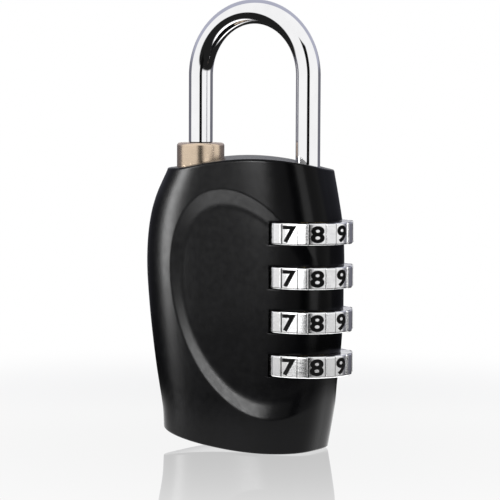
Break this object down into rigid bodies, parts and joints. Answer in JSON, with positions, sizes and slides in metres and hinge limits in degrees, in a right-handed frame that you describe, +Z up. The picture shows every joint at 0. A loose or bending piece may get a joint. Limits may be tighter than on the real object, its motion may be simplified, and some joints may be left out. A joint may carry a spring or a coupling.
{
  "type": "luggage combination padlock",
  "caption": "Small luggage padlock with an oval-dished black casing, a lifting round-wire shackle in a guide collar, and a column of numbered dials along one side.",
  "frame": {"origin": "middle of the bounding box in plan, at the lowest point of the casing's bottom", "axes": "+Z up along the shackle legs, +X towards the dials, -Y out of the front face"},
  "size_m": [0.0372, 0.016, 0.0734],
  "materials": {
    "black_lacquer": "semi-gloss",
    "chrome_wire": "polished",
    "champagne_metal": "satin, plated",
    "dial_silver": "satin plated",
    "dial_ink": "matt black",
    "sleeve_brass": "turned",
    "spring_steel": "bright"
  },
  "bodies": {
    "casing": {"front_casing": "black_lacquer", "rear_casing": "black_lacquer", "dowel_pins": "spring_steel", "shackle_collar": "champagne_metal", "lift_spring": "spring_steel", "reset_spring": "spring_steel", "reset_washer": "spring_steel", "detent_leaf_1": "spring_steel", "detent_leaf_2": "spring_steel", "detent_leaf_3": "spring_steel", "detent_leaf_4": "spring_steel"},
    "shackle": {"shackle": "chrome_wire"},
    "dial_1": {"dial_ring_1": "dial_silver", "dial_sleeve_1": "sleeve_brass"},
    "dial_2": {"dial_ring_2": "dial_silver", "dial_sleeve_2": "sleeve_brass"},
    "dial_3": {"dial_ring_3": "dial_silver", "dial_sleeve_3": "sleeve_brass"},
    "dial_4": {"dial_ring_4": "dial_silver", "dial_sleeve_4": "sleeve_brass"}
  },
  "joints": [
    {"name": "shackle_lift", "type": "slide", "parent": "casing", "child": "shackle", "axis": [0, 0, 1], "range_m": [0, 0.0071], "deforming": ["lift_spring"]},
    {"name": "dial_1_turn", "type": "hinge", "parent": "casing", "child": "dial_1", "pos_m": [0.01105, 0, 0.0358], "axis": [0, 0, 1], "continuous": true, "deforming": ["detent_leaf_1"]},
    {"name": "dial_2_turn", "type": "hinge", "parent": "casing", "child": "dial_2", "pos_m": [0.01105, 0, 0.0287], "axis": [0, 0, 1], "continuous": true, "deforming": ["detent_leaf_2"]},
    {"name": "dial_3_turn", "type": "hinge", "parent": "casing", "child": "dial_3", "pos_m": [0.01105, 0, 0.0216], "axis": [0, 0, 1], "continuous": true, "deforming": ["detent_leaf_3"]},
    {"name": "dial_4_turn", "type": "hinge", "parent": "casing", "child": "dial_4", "pos_m": [0.01105, 0, 0.0145], "axis": [0, 0, 1], "continuous": true, "deforming": ["detent_leaf_4"]}
  ]
}
